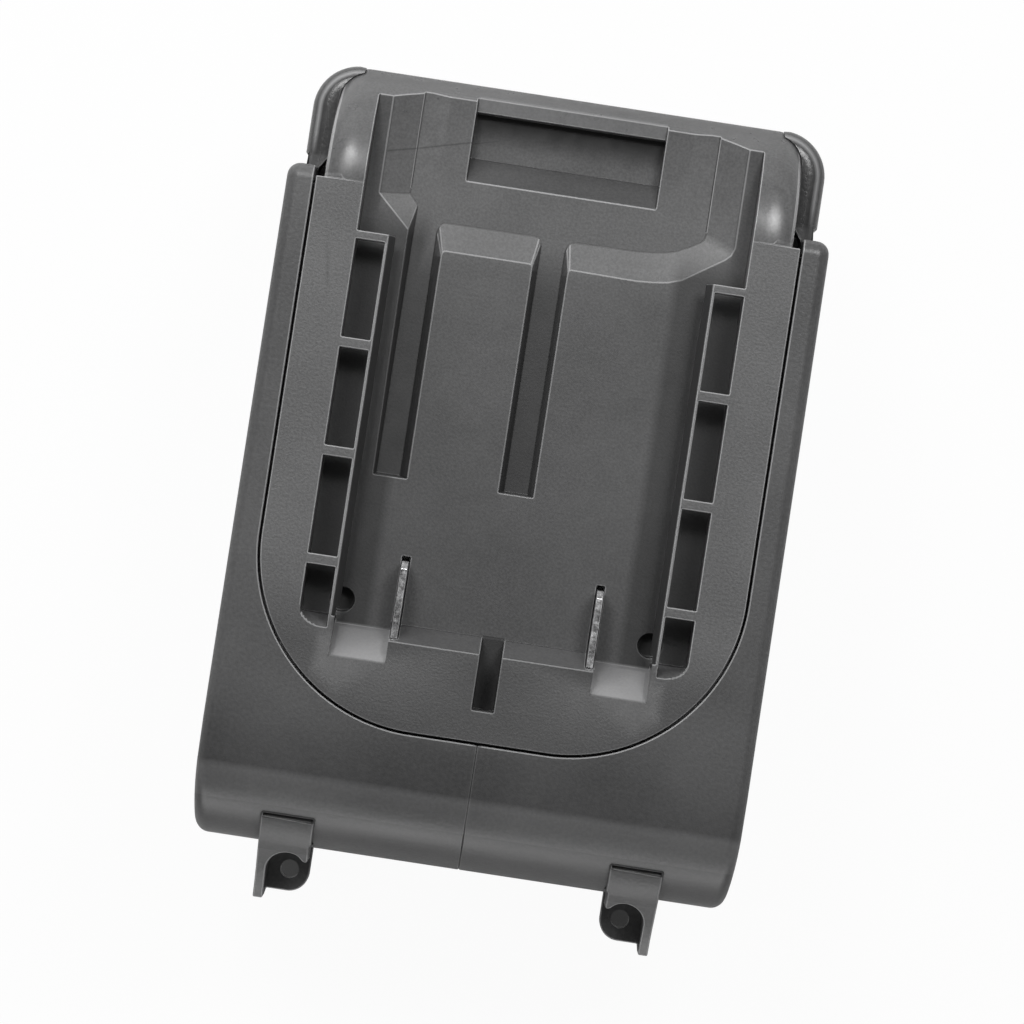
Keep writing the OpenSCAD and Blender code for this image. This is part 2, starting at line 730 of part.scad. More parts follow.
module tower_screws() {
  color([0.7, 0.7, 0.72]) for (y = [-tower_l / 2 + 5, tower_l / 2 - 5]) {
    translate([-tower_w / 2 + 0.3, y, 12]) rotate([0, 90, 0]) cylinder(r = screw_head_d / 2, h = head_t);
    translate([-tower_w / 2 + 2.3 - eps, y, 12]) rotate([0, 90, 0])
      cylinder(r = screw_d / 2 - 0.02, h = tower_w / 2 + 4.7);
  }
}

dock_plate();
left_housing();
right_housing();
positive_blade();
negative_blade();
blade_holder();
holder_screws();
circuit_board();
board_screws();
power_transistors();
heat_sink();
smoothing_capacitors();
fuse();
fuse_clips();
control_chips();
surface_parts();
output_socket();
positive_contact_clip();
negative_contact_clip();
positive_lead();
negative_lead();
lead_sleeves();
plate_screws();
tower_screws();
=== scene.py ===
import math

import bmesh
import bpy
from mathutils import Matrix, Vector


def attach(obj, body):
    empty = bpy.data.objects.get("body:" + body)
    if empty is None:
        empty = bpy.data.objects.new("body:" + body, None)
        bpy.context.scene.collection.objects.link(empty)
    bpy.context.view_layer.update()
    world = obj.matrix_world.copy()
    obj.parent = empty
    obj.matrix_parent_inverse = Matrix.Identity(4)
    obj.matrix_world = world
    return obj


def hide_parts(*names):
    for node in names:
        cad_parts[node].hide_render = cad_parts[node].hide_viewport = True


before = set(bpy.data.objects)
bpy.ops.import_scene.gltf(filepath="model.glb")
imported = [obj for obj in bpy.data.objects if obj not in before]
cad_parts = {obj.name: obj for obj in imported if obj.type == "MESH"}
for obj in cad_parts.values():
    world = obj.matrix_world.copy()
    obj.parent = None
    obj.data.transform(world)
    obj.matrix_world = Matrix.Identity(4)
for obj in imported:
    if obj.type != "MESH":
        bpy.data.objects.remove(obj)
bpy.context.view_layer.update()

# Dock plate: one grey moulding that the battery slides onto. It has a spark-textured rim, a polished
# round nose, a tray with sloped sides, two guide lips with windows, and a recess for the battery's latch.
# Four screws hold it between the housing halves, which close round its edge.
MM = 0.001
FACE = 50.0
FLOOR = FACE - 6.5
TRAY = FLOOR - 1.6
PIT = TRAY - 3.0
NOSE_Y, NOSE_R = 40.1, 18.6
NOSE_Z = FACE - NOSE_R
PLATE_X = 35.8
CORNER_Y, CORNER_R = -12.7, 25.8
LIP_IN, LIP_OUT, LIP_END = 24.4, 28.7, -23.3
LATCH_X, CREASE_X, PIN_Y = 14.2, 18.2, -20.85


def arc(centre, radius, start, end, steps):
    """Points of an arc from start to end, in degrees."""
    return [(centre[0] + radius * math.cos(math.radians(start + (end - start) * i / steps)),
             centre[1] + radius * math.sin(math.radians(start + (end - start) * i / steps)))
            for i in range(steps + 1)]


def rounded(corners, steps=8):
    """Outline with the given corners, each (a, b, radius), turned into points with round corners."""
    points = []
    for i, (a, b, radius) in enumerate(corners):
        here = Vector((a, b))
        if radius <= 0:
            points.append((a, b))
            continue
        before = (Vector(corners[i - 1][:2]) - here).normalized()
        after = (Vector(corners[(i + 1) % len(corners)][:2]) - here).normalized()
        half = before.angle(after) / 2
        middle = here + (before + after).normalized() * (radius / math.sin(half))
        first = here + before * (radius / math.tan(half)) - middle
        last = here + after * (radius / math.tan(half)) - middle
        turn = first.angle_signed(last)
        for k in range(steps + 1):
            spot = middle + Matrix.Rotation(-turn * k / steps, 2) @ first
            points.append((spot.x, spot.y))
    return points


def moulded(outline, plane, low, high):
    """Prism of an outline in the plane xy, xz or yz, from low to high along the third axis, in mm."""
    spread = {"xy": lambda a, b: (a, b, low), "xz": lambda a, b: (a, low, b), "yz": lambda a, b: (low, a, b)}
    way = {"xy": (0, 0, 1), "xz": (0, 1, 0), "yz": (1, 0, 0)}[plane]
    bm = bmesh.new()
    face = bm.faces.new([bm.verts.new(spread[plane](a, b)) for a, b in outline])
    grown = bmesh.ops.extrude_face_region(bm, geom=[face])
    tops = [v for v in grown["geom"] if isinstance(v, bmesh.types.BMVert)]
    bmesh.ops.translate(bm, verts=tops, vec=Vector(way) * (high - low))
    bmesh.ops.recalc_face_normals(bm, faces=bm.faces)
    return bm


def brick(low, high):
    """Plain box between two corners, in mm."""
    return moulded([(low[0], low[1]), (high[0], low[1]), (high[0], high[1]), (low[0], high[1])],
                   "xy", low[2], high[2])


def peg(x, y, radius, low, high, steps=40):
    """Upright round peg, in mm."""
    return moulded(arc((x, y), radius, 0, 360 * (steps - 1) / steps, steps - 1), "xy", low, high)


def set_in_order(mesh):
    """Gives the points and faces of a mesh, with their marks, an order that is the same in every run."""
    spots = [tuple(round(c, 5) for c in v.co) for v in mesh.vertices]
    order = sorted(range(len(spots)), key=spots.__getitem__)
    rank = {old: new for new, old in enumerate(order)}
    sharp = {tuple(sorted(rank[i] for i in e.vertices)) for e in mesh.edges if e.use_edge_sharp}
    edge_mark = mesh.attributes.get("edge_light_shade")
    marked = edge_mark is not None
    faces = []
    for face in mesh.polygons:
        ring = [rank[i] for i in face.vertices]
        first = ring.index(min(ring))
        faces.append((ring[first:] + ring[:first], edge_mark.data[face.index].value if marked else 0.0))
    faces.sort()
    mesh.clear_geometry()
    mesh.from_pydata([spots[i] for i in order], [], [ring for ring, _ in faces])
    if marked:
        edge_mark = mesh.attributes.new("edge_light_shade", "FLOAT", "FACE")
        edge_mark.data.foreach_set("value", [mark for _, mark in faces])
    for edge in mesh.edges:
        edge.use_edge_sharp = tuple(sorted(edge.vertices)) in sharp
    mesh.update()


def solid(bm, name):
    """Object of a bmesh. It is drawn in mm until it is softened."""
    mesh = bpy.data.meshes.new(name)
    bm.to_mesh(mesh)
    bm.free()
    set_in_order(mesh)
    made = bpy.data.objects.new(name, mesh)
    bpy.context.scene.collection.objects.link(made)
    return made


def carve(body, tools, how="DIFFERENCE"):
    """Cuts each tool out of the body, or joins it on with UNION, and drops the tool."""
    for tool in tools:
        tool = solid(tool, "tool")
        step = body.modifiers.new("carve", "BOOLEAN")
        step.operation, step.solver, step.object = how, "EXACT", tool
        bpy.context.view_layer.objects.active = body
        bpy.ops.object.modifier_apply(modifier=step.name)
        spent = tool.data
        bpy.data.objects.remove(tool)
        bpy.data.meshes.remove(spent)
        set_in_order(body.data)
    return body


def both(make):
    """A shape at positive X and its mirror image."""
    left = make()
    bmesh.ops.scale(left, verts=left.verts, vec=(-1, 1, 1))
    bmesh.ops.recalc_face_normals(left, faces=left.faces)
    return [make(), left]


def soften(body, width, steps=3, limit=14, sharp=None, splits=()):
    """Cleans the cut mesh, rounds its edges as a mould does and notes which edges stand out or lie in.

    Edges that sharp picks keep their shape. Each split parts a flat face with holes in it along a plane.
    """
    bm = bmesh.new()
    bm.from_mesh(body.data)
    edge_mark = bm.faces.layers.float.new("edge_light_shade")
    bmesh.ops.remove_doubles(bm, verts=bm.verts, dist=0.002)
    for place, way, level in splits:
        flat = [f for f in bm.faces
                if f.normal.z > 0.99 and abs(f.calc_center_median().z - level) < 0.01]
        parts = list(dict.fromkeys(item for f in flat for item in [f, *f.edges, *f.verts]))
        cut = bmesh.ops.bisect_plane(bm, geom=parts, dist=0.0001, plane_co=place, plane_no=way)
        for item in cut["geom_cut"]:
            if isinstance(item, bmesh.types.BMEdge):
                item.seam = True
    bmesh.ops.dissolve_limit(bm, angle_limit=math.radians(0.4), verts=bm.verts, edges=bm.edges,
                             delimit={"SEAM"})
    left_out = {e for e in bm.edges if sharp and sharp((e.verts[0].co + e.verts[1].co) / 2)}
    for edge in left_out:
        edge.smooth = edge.calc_face_angle(0.0) < math.radians(60)
    edges = [e for e in bm.edges if e.calc_face_angle(0.0) > math.radians(limit) and e not in left_out]
    made = bmesh.ops.bevel(bm, geom=edges, offset=width, offset_type="WIDTH", segments=steps, profile=0.5,
                           affect="EDGES", clamp_overlap=False, material=-1, miter_outer="ARC", spread=0.1)
    # Narrow bevel faces on outer edges are marked for a painted highlight, those in inner corners for painted
    # shade.
    for face in [f for f in made["faces"] if f.is_valid]:
        longest = max(e.calc_length() for e in face.edges)
        turn = sum(e.calc_face_angle_signed(0.0) for e in face.edges
                   if e.is_manifold and e.calc_length() > 0.5 * longest)
        narrow = face.calc_area() < width * longest
        face[edge_mark] = (1.0 if turn > 0.02 else -1.0 if turn < -0.02 else 0.0) if narrow else 0.0
    bmesh.ops.triangulate(bm, faces=[f for f in bm.faces if len(f.verts) > 4])
    bm.to_mesh(body.data)
    bm.free()
    set_in_order(body.data)
    body.data.transform(Matrix.Scale(MM, 4))
    for face in body.data.polygons:
        face.use_smooth = True
    even = body.modifiers.new("even_shading", "WEIGHTED_NORMAL")
    even.weight, even.keep_sharp = 50, True
    return body


def plate_outline(grow, top):
    """Outline of the plate with its two large lower corners."""
    half, turn = PLATE_X + grow, CORNER_R + grow
    inner = half - turn
    return ([(half, top)] + [(-half, top)] + arc((-inner, CORNER_Y), turn, 180, 270, 48)
            + arc((inner, CORNER_Y), turn, 270, 360, 48))


def nose_shape():
    """Round nose: bar with crowned upper edges, bent a quarter turn, its end a little bowed and narrower."""
    bm = bmesh.new()
    rings = []
    for step in range(-1, 37):
        turn = math.radians(2.5 * max(step, 0))
        wide, high = 4.9 - 1.7 * math.sin(turn), 1.7 + 1.5 * math.sin(turn)
        shape = [(34.7, 3.1)] + [(34.7 - wide + wide * math.cos(math.radians(a)),
                                  NOSE_R - high + high * math.sin(math.radians(a)))
                                 for a in (0, 6, 12, 20, 28, 36, 44, 52, 60, 68, 75, 82, 90)]
        ring = []
        for across, out in shape + [(-a, b) for a, b in reversed(shape)]:
            y = NOSE_Y + out * math.sin(turn) - (1.6 if step < 0 else 0)
            narrow = 1 - 0.018 * (max(0.0, y - 46) / 12.7) ** 2
            y -= 0.7 * (across / 33) ** 2 * max(0.0, y - NOSE_Y) / NOSE_R
            ring.append(bm.verts.new((across * narrow, y, NOSE_Z + out * math.cos(turn))))
        rings.append(ring)
    for first, second in zip(rings, rings[1:]):
        for i in range(len(first)):
            bm.faces.new((first[i - 1], first[i], second[i], second[i - 1]))
    bm.faces.new(rings[0])
    bm.faces.new(rings[-1])
    bmesh.ops.recalc_face_normals(bm, faces=bm.faces)
    return bm


def tray_pit():
    """Tray, its grooves and its sloped sides: each corner at tray level, then at floor level."""
    corners = [
        ((22.1, 62), (26.6, 62)), ((-22.1, 62), (-26.6, 62)), ((-22.1, 39.9), (-26.6, 39.3)),
        ((-20.75, 38.4), (-21.5, 34.5)), ((-20.9, -1.6), (-21.25, -1.9)), ((-17.3, -1.6), (-16.15, -1.9)),
        ((-17.3, 34.9), (-16.15, 31.4)), ((-17.05, 35.8), (-16.05, 31.9)), ((-16.5, 36.3), (-15.8, 32.15)),
        ((-15.7, 36.4), (-15.5, 32.2)), ((-2.9, 36.4), (-3.1, 32.2)), ((-2.2, 36.2), (-2.8, 32.1)),
        ((-1.85, 35.6), (-2.65, 31.8)), ((-1.8, 34.8), (-2.6, 31.3)), ((-1.8, -1.6), (-2.6, -1.9)),
        ((1.8, -1.6), (2.7, -1.9)), ((1.85, 34.6), (2.7, 31.3)), ((2.0, 35.5), (2.75, 31.8)),
        ((2.4, 36.1), (2.9, 32.1)), ((3.1, 36.36), (3.2, 32.2)), ((12.1, 36.45), (12.8, 32.05)),
        ((14.3, 36.6), (15.2, 32.2)), ((16.4, 36.9), (17.4, 32.5)), ((18.3, 37.4), (19.5, 33.15)),
        ((20.4, 38.5), (23.3, 35.7)), ((21.4, 39.1), (25.4, 37.1)), ((21.9, 39.6), (26.2, 37.9)),
        ((22.1, 40.4), (26.6, 39.0)),
    ]
    bm = bmesh.new()
    bottom = bm.faces.new([bm.verts.new((a, b, TRAY)) for (a, b), _ in corners])
    grown = bmesh.ops.extrude_face_region(bm, geom=[bottom])
    rim = [f for f in grown["geom"] if isinstance(f, bmesh.types.BMFace)][0]
    for v in rim.verts:
        for low, high in corners:
            if abs(v.co.x - low[0]) + abs(v.co.y - low[1]) < 1e-4:
                v.co = (high[0], high[1], FLOOR)
                break
    again = bmesh.ops.extrude_face_region(bm, geom=[rim])
    lifted = [v for v in again["geom"] if isinstance(v, bmesh.types.BMVert)]
    bmesh.ops.translate(bm, verts=lifted, vec=(0, 0, 9))
    bmesh.ops.delete(bm, geom=[rim], context="FACES_ONLY")
    bmesh.ops.recalc_face_normals(bm, faces=bm.faces)
    return bm


def tray_wedge():
    """Outer strip of the tray, which falls away slightly from a crease towards the nose."""
    bm = bmesh.new()
    low = [bm.verts.new(c) for c in ((CREASE_X, 40.7, TRAY), (CREASE_X, 62, TRAY), (22.1, 62, TRAY - 0.55),
                                     (22.1, 40.7, TRAY))]
    high = [bm.verts.new((v.co.x, v.co.y, TRAY + 0.4)) for v in low]
    bm.faces.new((low[0], low[2], low[1]))
    bm.faces.new((low[0], low[3], low[2]))
    bm.faces.new(high)
    for i in range(4):
        bm.faces.new((low[i - 1], low[i], high[i], high[i - 1]))
    bmesh.ops.recalc_face_normals(bm, faces=bm.faces)
    return bm


def lip_tools():
    """Windows in the guide lip, the undercut below it and the slope of its thin inner wall."""
    tools = []
    for i in range(3):
        top = 31.8 - 16 * i
        tools += both(lambda: brick((LIP_IN, top - 14.5, FLOOR), (LIP_OUT, top, FACE + 2)))
    last = rounded([(LIP_IN, -16.2, 0), (LIP_IN, -25.7, 0), (LIP_OUT, -25.7, 3.4), (LIP_OUT, -16.2, 0)])
    for made in both(lambda: moulded(last, "xy", FLOOR, FACE + 2)):
        for v in made.verts:
            if v.co.z < FLOOR + 1 and v.co.y < -20:
                v.co.y = max(v.co.y, LIP_END)
        tools.append(made)
    slope = [(23.0, FLOOR + 1), (23.0, FACE - 3.4), (24.03, FACE), (24.1, FACE + 2)]
    tools += [brick((-LIP_OUT, LIP_END, FLOOR), (LIP_OUT, 33.5, FACE - 3.4)),
              moulded(slope + [(-a, b) for a, b in reversed(slope)], "xz", LIP_END, 33.6)]
    return tools


plate = solid(moulded(plate_outline(0, 40.0), "xy", FACE - 2.6, FACE), "dock_plate_moulding")
carve(plate, [moulded(plate_outline(1.4, 39.0), "xy", FACE - 4.6, FACE - 2.7),
              moulded(plate_outline(-0.6, 39.4), "xy", FACE - 4.8, FACE - 2.5),
              brick((-30.9, -35.9, FLOOR - 2), (30.9, -4, FACE - 2)),
              brick((-30.9, -4.2, TRAY - 2.2), (30.9, 41, FACE - 2)),
              nose_shape()], "UNION")
carve(plate, [brick((-LIP_OUT, 33.0, FLOOR), (LIP_OUT, 64, FACE + 3)), tray_pit()])
carve(plate, lip_tools())
carve(plate, [
    moulded([(46.65, PIT), (53.4, PIT), (53.4, FACE), (42.97, FACE), (42.97, TRAY)],
            "yz", -LATCH_X, LATCH_X),
    brick((-LATCH_X, 53.3, TRAY - 0.9), (LATCH_X, 64, FACE)),
    moulded([(0, FLOOR), (0, FACE + 2), (-26.4, FACE + 2), (-25.7, FACE), (LIP_END, FLOOR)],
            "yz", -22.9, 22.9),
    brick((-1.63, -33.9, FLOOR), (1.63, -22.5, FACE + 2))])
carve(plate, both(lambda: moulded([(-22, FLOOR), (-22, FACE + 2), (-30.8, FACE + 2), (-29.3, FACE),
                                   (-24.4, FLOOR)], "yz", 15.15, 23.5)))
carve(plate, both(lambda: brick((13.88, -25.35, FLOOR - 3), (15.12, -13.2, FACE + 2))))
carve(plate, both(lambda: peg(22.95, PIN_Y, 1.83, FLOOR - 1.9, FLOOR + 1)))
carve(plate, both(tray_wedge))
LIP_MIDDLE = (LIP_IN + LIP_OUT) / 2
soften(plate, 0.24, sharp=lambda spot: 29.2 < abs(spot.x) < 31.4 and 39.5 < spot.y < 40.6
       or 14.9 < abs(spot.x) < 23.6 and -29.8 < spot.y < -24.5
       or abs(spot.x) > 28.2 and -24.0 < spot.y < -21.9 and spot.z < 48.9,
       splits=[((0, PIN_Y, 0), (0, 1, 0), FLOOR), ((LIP_MIDDLE, 0, 0), (1, 0, 0), FACE),
               ((-LIP_MIDDLE, 0, 0), (1, 0, 0), FACE)])
# The crease along the outer strip of the tray stays crisp.
for edge in plate.data.edges:
    ends = [plate.data.vertices[i].co for i in edge.vertices]
    if all(abs(abs(v.x) - CREASE_X * MM) < 2e-5 and v.y > 0.0404 for v in ends):
        edge.use_edge_sharp = True


def grey(level):
    """Neutral colour of one linear level."""
    return (level, level, level * 1.01, 1.0)


class Finish:
    """Node material built up step by step."""

    def __init__(self, name, **settings):
        self.material = bpy.data.materials.new(name)
        self.material.use_nodes = True
        self.tree = self.material.node_tree
        self.shader = self.tree.nodes["Principled BSDF"]
        for socket, value in settings.items():
            self.shader.inputs[socket.replace("_", " ")].default_value = value
        self.place = self.node("ShaderNodeTexCoord").outputs["Object"]

    def node(self, kind, inputs=None, **settings):
        made = self.tree.nodes.new(kind)
        for key, value in settings.items():
            setattr(made, key, value)
        for key, value in (inputs or {}).items():
            if isinstance(value, bpy.types.NodeSocket):
                self.tree.links.new(value, made.inputs[key])
            else:
                made.inputs[key].default_value = value
        return made

    def math(self, how, a, b=0.0, c=0.0):
        return self.node("ShaderNodeMath", {0: a, 1: b, 2: c}, operation=how).outputs[0]

    def times(self, a, b):
        return self.math("MULTIPLY", a, b)

    def most(self, a, b):
        return self.math("MAXIMUM", a, b)

    def near(self, value, middle, reach):
        """One within reach of the middle, else zero."""
        return self.math("COMPARE", value, middle, reach)

    def below(self, value, level):
        """One below the level, else zero."""
        return self.math("LESS_THAN", value, level)

    def ramp(self, value, low, high, to_low=0.0, to_high=1.0):
        return self.node("ShaderNodeMapRange", {"Value": value, "From Min": low, "From Max": high,
                                                "To Min": to_low, "To Max": to_high}).outputs["Result"]

    def noise(self, scale, detail=2.0, rough=0.5):
        return self.node("ShaderNodeTexNoise", {"Vector": self.place, "Scale": scale, "Detail": detail,
                                                "Roughness": rough}).outputs["Fac"]

    def blend(self, factor, a, b):
        made = self.node("ShaderNodeMix", {0: factor}, data_type="RGBA")
        for socket, value in ((made.inputs[6], a), (made.inputs[7], b)):
            if isinstance(value, bpy.types.NodeSocket):
                self.tree.links.new(value, socket)
            else:
                socket.default_value = value
        return made.outputs[2]

    def link(self, value, socket):
        self.tree.links.new(value, self.shader.inputs[socket])

    def edge_lit_shaded(self, colour, light, dark):
        """Colour with painted highlights on outer edges and painted shade in inner corners."""
        edge_mark = self.node("ShaderNodeAttribute", attribute_name="edge_light_shade").outputs["Fac"]
        colour = self.blend(self.times(self.most(edge_mark, 0.0), light), colour, grey(0.3))
        inside = self.most(self.times(edge_mark, -1.0), 0.0)
        return self.blend(self.times(inside, dark), colour, grey(0.01))

    def bump(self, height, strength, depth):
        return self.node("ShaderNodeBump", {"Height": height, "Strength": strength,
                                            "Distance": depth}).outputs["Normal"]


def plate_finish():
    """Grey plastic: spark texture on the rim and lips, polished nose, smooth floor under the lips with
    painted shade, and painted light and shade on edges and in hollows.
    """
    f = Finish("plate_plastic_finish", Roughness=0.5)
    x, y, z = f.node("ShaderNodeSeparateXYZ", {0: f.place}).outputs
    side = f.math("ABSOLUTE", x)
    polished = f.times(f.ramp(y, 0.0399, 0.0402),
                       f.most(f.ramp(y, 0.0400, 0.0520), f.math("GREATER_THAN", side, LIP_OUT * MM)))
    rim = f.ramp(z, (FACE - 0.6) * MM, (FACE - 0.4) * MM)
    spark = f.times(rim, f.math("SUBTRACT", 1.0, polished))
    deep = f.ramp(z, (FLOOR + 0.4) * MM, (FLOOR + 0.6) * MM, 1.0, 0.0)
    # Painted shade along the lips, in their windows, in the grooves and in the channels.
    outer = f.times(f.ramp(side, 0.0172, 0.0194), f.ramp(y, 0.0335, 0.0385, 0.75, 0.0))
    pitch = f.math("FLOORED_MODULO", f.math("SUBTRACT", 0.0318, y), 0.016)
    window = f.times(f.ramp(side, 0.0242, 0.0244), f.ramp(pitch, 0.0, 0.0045, 0.9, 0.35))
    outer = f.most(outer, f.times(window, f.ramp(y, 0.0318, 0.0319, 1.0, 0.0)))
    groove = f.times(f.ramp(z, (FLOOR - 0.9) * MM, (FLOOR - 0.3) * MM, 0.75, 0.0),
                     f.ramp(y, 0.028, 0.036, 1.0, 0.0))
    channel = f.times(f.near(side, 0.0275, 0.0012),
                      f.times(f.ramp(y, 0.0335, 0.036, 0.0, 0.4), f.below(y, 0.0535)))
    shade = f.times(deep, f.most(f.most(outer, groove), channel))
    # Painted shade in the latch recess and on its ramp, on the tray's cheeks, on the low floor and on the
    # thin inner walls.
    inside = f.times(f.below(side, LATCH_X * MM), f.ramp(z, (TRAY - 0.15) * MM, (TRAY - 0.05) * MM, 1.0, 0.0))
    slope = f.times(f.near(y, 0.0448, 0.0019), 0.5)
    slope = f.most(slope, f.ramp(y, 0.0480, 0.0520, 0.0, 1.0))
    shade = f.most(shade, f.times(f.times(inside, slope), f.near(y, 0.048, 0.0053)))
    cheek = f.times(f.near(z, (TRAY + FLOOR) * 0.0005, 0.00066), f.below(y, 0.0313))
    shade = f.most(shade, f.times(cheek, 0.65))
    shade = f.most(shade, f.times(deep, f.ramp(y, 0.0300, 0.0340, 0.26, 0.08)))
    wall = f.times(f.near(side, 0.02345, 0.0006), f.ramp(z, (FACE - 0.5) * MM, (FACE - 0.3) * MM, 0.75, 0.0))
    shade = f.most(shade, f.times(wall, f.ramp(z, (FLOOR + 0.5) * MM, (FLOOR + 0.6) * MM)))
    # Faint streaks: start and end, width and strength of each.
    for (x0, y0), (x1, y1), width, force in (
            ((-28.9, 44.9), (-5.5, 51.0), 0.22, 0.65), ((6.3, -23.3), (10.8, -9.9), 0.3, 0.4),
            ((-13.5, 11.0), (-3.0, 10.2), 0.2, 0.3), ((-22.0, -8.0), (-16.0, -4.2), 0.2, 0.3),
            ((-31.5, 22.0), (-33.0, 33.0), 0.4, 0.25)):
        long = math.hypot(x1 - x0, y1 - y0)
        ux, uy = (x1 - x0) / long, (y1 - y0) / long
        along = f.math("MULTIPLY_ADD", x, ux, f.times(y, uy))
        begin = (x0 * ux + y0 * uy) * MM
        close = begin + long * MM
        away = f.math("ABSOLUTE", f.math("ADD", f.math("MULTIPLY_ADD", x, uy, f.times(y, -ux)),
                                         (y0 * ux - x0 * uy) * MM))
        ends = f.times(f.ramp(along, begin, begin + 0.003), f.ramp(along, close - 0.004, close, 1.0, 0.0))
        shade = f.most(shade, f.times(f.ramp(away, 0.0, width * MM, force, 0.0), ends))
    # Painted shade on the low end of the rim, the end of the nose, the end wall, the slit and the two pin
    # holes.
    low_rim = f.times(rim, f.ramp(y, -0.0280, -0.0190, 0.46, 0.0))
    nose_end = f.ramp(y, 0.0548, 0.0578, 0.0, 0.6)
    shade = f.most(shade, f.most(low_rim, nose_end))
    end_wall = f.times(f.near(y, -0.0245, 0.00105), f.below(side, 0.0138))
    shade = f.most(shade, f.times(end_wall, 0.22))
    slit = f.times(deep, f.below(side, 0.00163))
    shade = f.most(shade, f.times(slit, f.ramp(y, -0.0231, -0.0229, 0.85, 0.0)))
    hole = f.times(f.ramp(z, (FLOOR - 0.5) * MM, (FLOOR - 0.3) * MM, 1.0, 0.0),
                   f.ramp(y, -0.0188, -0.0186, 1.0, 0.0))
    grain = f.noise(2600, 3.0, 0.6)
    soft = f.noise(420, 2.0)
    cloud = f.noise(60, 3.0)
    tone = f.math("ADD", f.ramp(grain, 0.35, 0.65, 0.0, 0.5), f.ramp(cloud, 0.35, 0.65, 0.0, 0.3))
    colour = f.edge_lit_shaded(f.blend(tone, grey(0.05), grey(0.1)), 0.55, 0.7)
    colour = f.blend(shade, colour, grey(0.008))
    colour = f.blend(hole, colour, grey(0.004))
    # Painted light on the two ramps at the end, a painted highlight along the brink of the nose and painted
    # light on the bar over the recess.
    landing = f.times(f.near(side, 0.01935, 0.0042),
                      f.times(f.ramp(y, -0.0293, -0.0244, 0.5, 0.36),
                              f.ramp(z, (FACE - 0.6) * MM, (FACE - 0.1) * MM, 1.0, 0.0)))
    landing = f.times(landing, f.ramp(y, -0.0243, -0.0240, 1.0, 0.0))
    colour = f.blend(landing, colour, grey(0.24))
    bow = f.math("POWER", f.most(f.math("MULTIPLY_ADD", y, 1000 / 12.7, -46 / 12.7), 0.0), 2.0)
    brink = f.near(f.math("MULTIPLY_ADD", bow, 0.000625, side), 0.03442, 0.0002)
    brink = f.times(brink, f.times(polished, f.ramp(y, 0.0400, 0.0440, 0.25, 0.6)))
    colour = f.blend(brink, colour, grey(0.32))
    strip = f.times(f.near(y, 0.0546, 0.0012), f.below(side, 0.0141))
    colour = f.blend(f.times(strip, 0.3), colour, grey(0.15))
    f.link(colour, "Base Color")
    rough = f.math("ADD", f.ramp(spark, 0, 1, 0.44, 0.56), f.ramp(polished, 0, 1, 0.0, -0.14))
    f.link(f.math("ADD", rough, f.ramp(soft, 0.3, 0.7, -0.03, 0.03)), "Roughness")
    f.link(f.ramp(y, 0.0535, 0.0575, 0.5, 0.05), "Specular IOR Level")
    depth = f.times(grain, f.ramp(spark, 0, 1, 0.25, 1.0))
    depth = f.times(depth, f.ramp(polished, 0, 1, 1.0, 0.12))
    f.link(f.bump(depth, 0.6, 0.00012), "Normal")
    return f.material


plate.data.materials.append(plate_finish())
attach(plate, "root")
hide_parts("dock_plate")

# Housing: two grey shell halves that meet along the middle. A rim lies beside the plate, the low end
# is round, a lower lip goes round the nose, and each half carries one screw ear. The flat plug tower
# on the back goes into the appliance.
HALF, REAR, WALL = 40.0, 24.0, 2.2
END_Y, END_Z, END_R = -45.3, 36.9, 12.9
EAR_X, EAR_Y = 25.0, -62.2
TOWER_X, TOWER_Y = 22.0, 17.0


def shell_profile(inset=0.0):
    """Side profile of the housing: flat top, slight crown, round end, flat back."""
    crown = math.degrees(math.asin(1.9 / END_R))
    low_end = [(a, b, 0) for a, b in arc((END_Y, END_Z), END_R - inset, 90 + crown, 270, 60)]
    return rounded([(41.6 - inset, REAR + inset, 2.5), (41.6 - inset, FACE - inset, 2.2),
                    (-41, FACE - inset, 0)] + low_end)


def shell_body():
    """Profile drawn out across the object, its outer edges rounded off and its sides a hair wider below."""
    bm = moulded(shell_profile(), "yz", -HALF, HALF)
    sides = [e for e in bm.edges if abs(e.verts[0].co.x - e.verts[1].co.x) < 1e-4]
    bmesh.ops.bevel(bm, geom=sides, offset=1.9, segments=7, profile=0.5, affect="EDGES", material=-1)
    for v in bm.verts:
        lower = min(max((40 - v.co.y) / 80, 0.0), 1.0)
        v.co.x *= 1.0035 + 0.0055 * lower - 0.013 * max(0.0, (-44 - v.co.y) / 11.5) ** 2
    return bm


def back_lip():
    """Lower block behind the nose, its upper edge rounded."""
    turned = arc((31.7, 51.1), 6.8, 0, 84, 14) + [(31.6, 57.8), (30.8, 57.6), (30.0, 57.3)]
    outline = [(38.5, 36)] + turned + [(-a, b) for a, b in reversed(turned)] + [(-38.5, 36)]
    bm = moulded(outline, "xy", REAR, FACE - 11)
    ring = []
    for edge in bm.edges:
        first, last = (v.co for v in edge.verts)
        if abs(first.z - last.z) < 1e-4 and min(first.y, last.y) > 35.9 and max(first.y, last.y) > 36.1:
            ring.append(edge)
    bmesh.ops.bevel(bm, geom=ring, offset=2.7, segments=9, profile=0.5, affect="EDGES", material=-1)
    return bm


def plug_tower(inset, low, high, corner):
    """Upright block of the plug tower, or the room inside it."""
    a, b = TOWER_X - inset, TOWER_Y - inset
    outline = rounded([(a, -b, corner), (a, b, corner), (-a, b, corner), (-a, -b, corner)])
    return moulded(outline, "xy", low, high)


